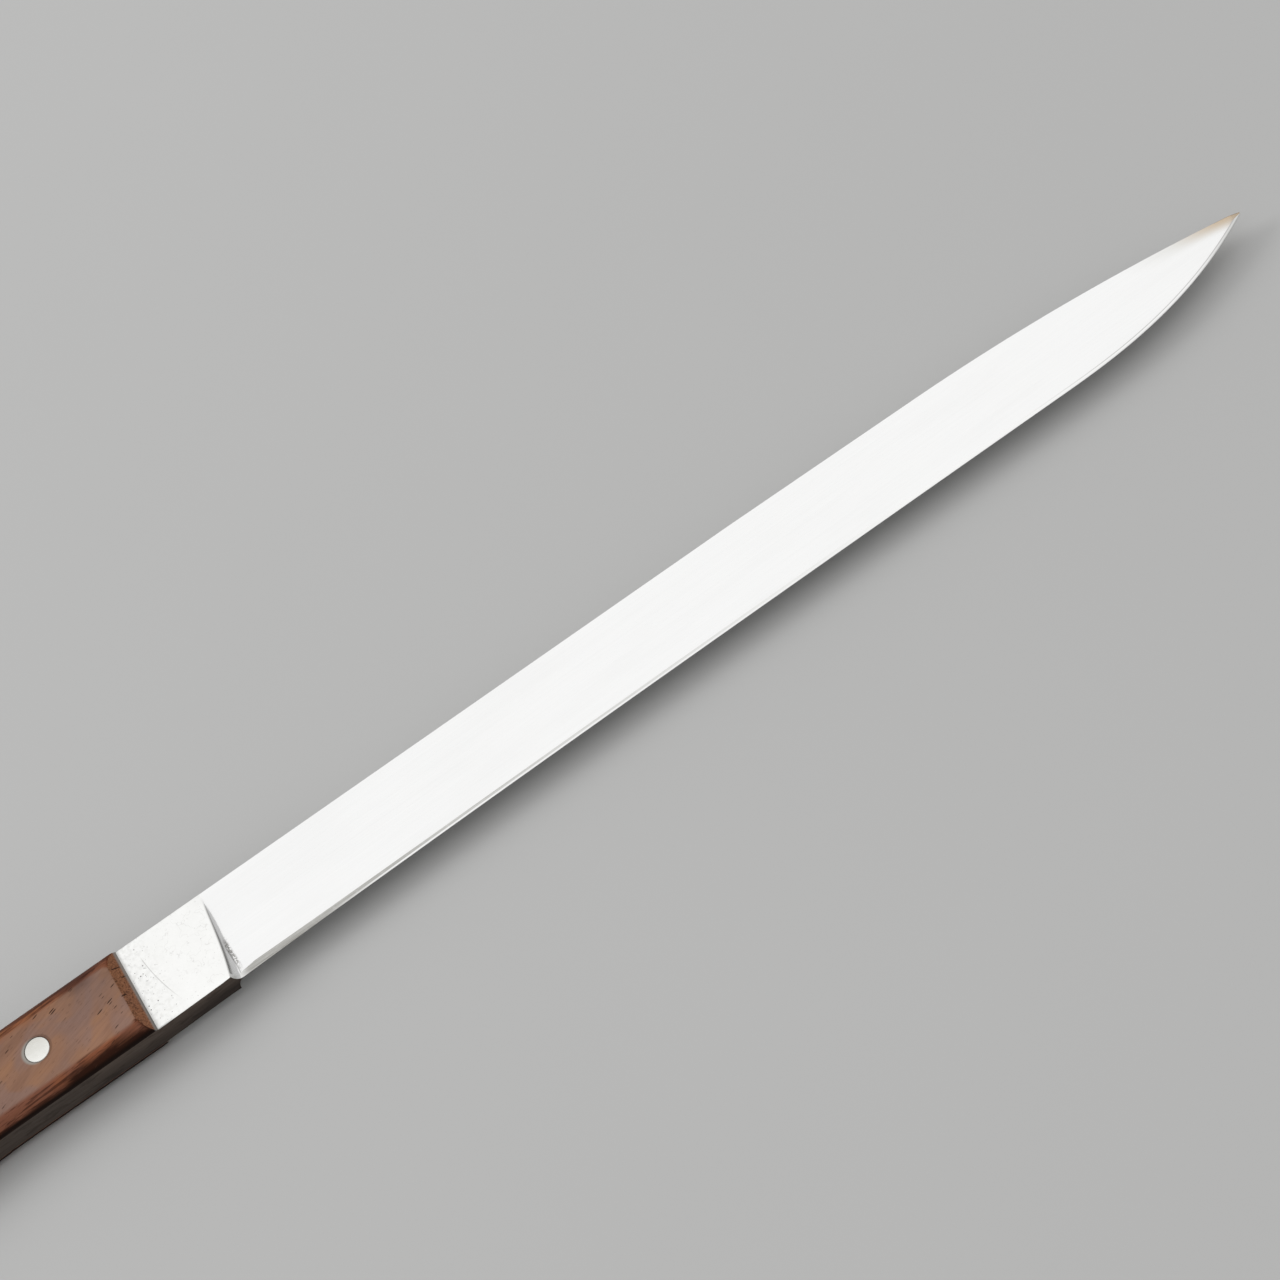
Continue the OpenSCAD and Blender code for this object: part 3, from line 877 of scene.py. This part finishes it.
# Material slots of the bar, which also name the zones along it
FACE, RICASSO, BEVEL, BAR_EDGE = range(4)


def bar_profile(x, top, low):
    """One side of the bar, from its back to its lower edge, with both corners eased."""
    z = BAR_T / 2
    inner = [mix(top - STEEL_EASE, low + STEEL_EASE, c / FACE_COLUMNS)
             for c in range(FACE_COLUMNS + 1)]
    return [(x, top, z - STEEL_EASE)] + [(x, y, z) for y in inner] + [(x, low, z - STEEL_EASE)]


def ground_profile(x_at, rise_at):
    """One side of the ground steel, given each column's x and rise above the grind."""
    side = []
    for c in range(FACE_COLUMNS + 2):
        x = x_at(c)
        y, z = ground_point(x, c)
        side.append((x, y, min(BAR_T / 2, z + rise_at(c))))
    x, y, z = side[0]
    soft = min(STEEL_EASE, z / 2)
    return [(x, y, z - soft), (x, y - soft, z)] + side[1:]


def steel_rings():
    """Zone and profile of each ring along the bar, from the butt to the tip.

    Between wood and plunge the columns lean over from upright to the plunge line.
    """
    rings = []
    for k in range(TURN_K, -1, -1):
        top, low = handle_point(k), handle_point(LAST_K - k)
        rings.append((RICASSO, bar_profile(top.x, top.y, low.y)))
    crease = ground_profile(plunge_x, lambda c: BAR_T)
    start = bar_profile(0.0, 0.0, -BAR_H)
    for step in range(1, RICASSO_STEPS):
        share = step / RICASSO_STEPS
        rings.append((RICASSO, [(mix(x, far_x, share), mix(y, far_y, share), z)
                                for (x, y, z), (far_x, far_y, _) in zip(start, crease)]))
    for step in range(FILLET_STEPS + 1):
        points = [fillet_point(c, step) for c in range(FACE_COLUMNS + 2)]
        rings.append((RICASSO if step == 0 else FACE, ground_profile(
            lambda c: points[c][0], lambda c: points[c][1])))
    for step in range(1, BLADE_STEPS + 1):
        share = 1 - (1 - step / BLADE_STEPS) ** CROWDING_POWER
        rings.append((BEVEL, ground_profile(
            lambda c: mix(fillet_point(c, FILLET_STEPS)[0], BLADE_LEN, share), lambda c: 0)))
    return rings


def steel_piece():
    """The bar as one mesh: tang, ricasso and ground blade."""
    rings = steel_rings()
    side = FACE_COLUMNS + 3
    points, slots = [], []
    for _, profile in rings:
        points += profile + [(x, y, -z) for x, y, z in reversed(profile)]
    for zone, profile in rings[1:]:
        half = [RICASSO if zone == RICASSO else FACE] * (side - 1)
        if zone != RICASSO:
            half[-1] = BEVEL
        elif profile[0][0] <= 0:
            half[0] = BAR_EDGE
            half[-1] = BAR_EDGE
        slots += half + [BEVEL if zone == BEVEL else BAR_EDGE] + half[::-1] + [BAR_EDGE]
    slots += [BAR_EDGE] * (side - 1) + [BEVEL] * (side - 1)
    piece = mesh_object("steel_bar", points, ring_faces(len(rings), 2 * side), slots)
    for material in (ground_steel(), ricasso_steel(), bevel_steel(), bar_edge_steel()):
        piece.data.materials.append(material)
    drill(piece)
    piece.data.set_sharp_from_angle(angle=math.radians(STEEL_SHARP))
    return piece


def front_x(z):
    """Where the sloped front end stands at height z, rounded over into the flat."""
    lean = math.atan2(SCALE_T, SLOPE_LEN)
    below = SCALE_T - z
    if below >= SLOPE_ROUND * (1 - math.cos(lean)):
        return -SLOPE_LEN * z / SCALE_T
    back = SLOPE_LEN + SLOPE_ROUND * math.tan(lean / 2)
    return SLOPE_ROUND * math.sin(math.acos(1 - below / SLOPE_ROUND)) - back


def scale_outline(inset, z):
    """A scale's outline at one height, with its two front corners rounded."""
    front = front_x(z)
    points = []
    for k in range(1, LAST_K):
        run = handle_point(k + 1, front) - handle_point(k - 1, front)
        inward = Vector((-run.y, run.x)).normalized()
        points.append(handle_point(k, front) + inset * inward)
    r = min(MITRE_ROUND, FRONT_CORNER_SHARE * inset)
    top, low = -inset, -BAR_H + inset
    turns = [math.pi / 2 * step / CORNER_STEPS for step in range(CORNER_STEPS + 1)]
    first = [Vector((front - r + r * math.cos(t), top - r + r * math.sin(t))) for t in turns]
    last = [Vector((p.x, top + low - p.y)) for p in reversed(first)]
    return first + points + last


def scale_piece(name, side, material):
    """A wooden scale, on the near face for side 1 and on the far face for side -1."""
    flat_angle = math.asin((SCALE_T - FOOT) / (SCALE_T + CROWN - FOOT))
    levels = [(0.0, 0.0)]
    for step in range(SHOULDER_STEPS + 1):
        angle = flat_angle * step / SHOULDER_STEPS
        levels.append((SHOULDER_W * (1 - math.cos(angle)),
                       FOOT + (SCALE_T + CROWN - FOOT) * math.sin(angle)))
    levels.append((levels[-1][0] + FLAT_RIM, SCALE_T))
    points = []
    for index, (inset, z) in enumerate(levels):
        outline = scale_outline(inset, z)
        if index == len(levels) - 1:
            # The last ring lies on the flat, a rim's width behind the rounded front end
            outline = [Vector((p.x - FLAT_RIM * max(0, 1 - (front_x(z) - p.x) / MITRE_ROUND), p.y))
                       for p in outline]
        points += [(p.x, p.y, side * (BAR_T / 2 + z)) for p in outline]
    count = len(points) // len(levels)
    piece = mesh_object(name, points, ring_faces(len(levels), count))
    piece.data.materials.append(material)
    drill(piece)
    piece.data.set_sharp_from_angle(angle=math.radians(WOOD_SHARP))
    return piece


def dress(piece, node):
    """Lets the piece stand for the solid of that node, on the body named root."""
    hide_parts(node)
    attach(piece, "root")


dress(steel_piece(), "blade")
wood = scale_wood()
dress(scale_piece("wood_left", 1, wood), "scale_left")
dress(scale_piece("wood_right", -1, wood), "scale_right")
pin_finish = sanded_pin()
for node in ("front_pin", "middle_pin", "rear_pin"):
    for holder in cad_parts[node].material_slots:
        holder.material = pin_finish


def add_floor():
    """A plain pale floor, with only a faint unevenness in its tone."""
    mesh = bpy.data.meshes.new("floor")
    corners = [(x * FLOOR_HALF, y * FLOOR_HALF, 0) for x, y in ((-1, -1), (1, -1), (1, 1), (-1, 1))]
    mesh.from_pydata(corners, [], [(0, 1, 2, 3)])
    floor = bpy.data.objects.new("floor", mesh)
    bpy.context.scene.collection.objects.link(floor)
    sh = Shade("floor_pale", roughness=0.9)
    tone = sh.noise(sh.stretch(sh.coord("Object"), (3, 3, 3)))
    mesh.materials.append(sh.finish(sh.blend(tone, (0.5, 0.5, 0.495), (0.53, 0.53, 0.525))))


def add_softbox(name, at, aim, size, radiance):
    """A square soft lamp, given by how bright its face looks."""
    data = bpy.data.lights.new(name, "AREA")
    data.shape = "SQUARE"
    data.size = size
    data.energy = radiance * math.pi * size * size
    lamp = bpy.data.objects.new(name, data)
    lamp.location = at
    lamp.rotation_euler = (Vector(aim) - Vector(at)).to_track_quat("-Z", "Y").to_euler()
    bpy.context.scene.collection.objects.link(lamp)


def add_world(strength):
    """Even white light from all round."""
    world = bpy.data.worlds.new("studio")
    world.use_nodes = True
    background = world.node_tree.nodes["Background"]
    background.inputs["Color"].default_value = (1, 1, 1, 1)
    background.inputs["Strength"].default_value = strength
    bpy.context.scene.world = world


def add_camera():
    """Camera at the photo's angle, rolled as the photo's was."""
    data = bpy.data.cameras.new("photo_view")
    data.lens = CAMERA_LENS
    data.sensor_width = CAMERA_SENSOR
    data.clip_start = CAMERA_NEAR
    camera = bpy.data.objects.new("photo_view", data)
    camera.location = CAMERA_AT
    look = (CAMERA_AIM - CAMERA_AT).to_track_quat("-Z", "Y").to_matrix()
    roll = Matrix.Rotation(math.radians(CAMERA_ROLL), 3, "Z")
    camera.rotation_euler = (look @ roll).to_euler()
    bpy.context.scene.collection.objects.link(camera)
    bpy.context.scene.camera = camera


add_floor()
add_world(WORLD_STRENGTH)
add_softbox("overhead", OVERHEAD_AT, OVERHEAD_AIM, OVERHEAD_SIZE, OVERHEAD_RADIANCE)
add_softbox("key", KEY_AT, KEY_AIM, KEY_SIZE, KEY_RADIANCE)
add_camera()
bpy.context.scene.view_settings.view_transform = "Standard"
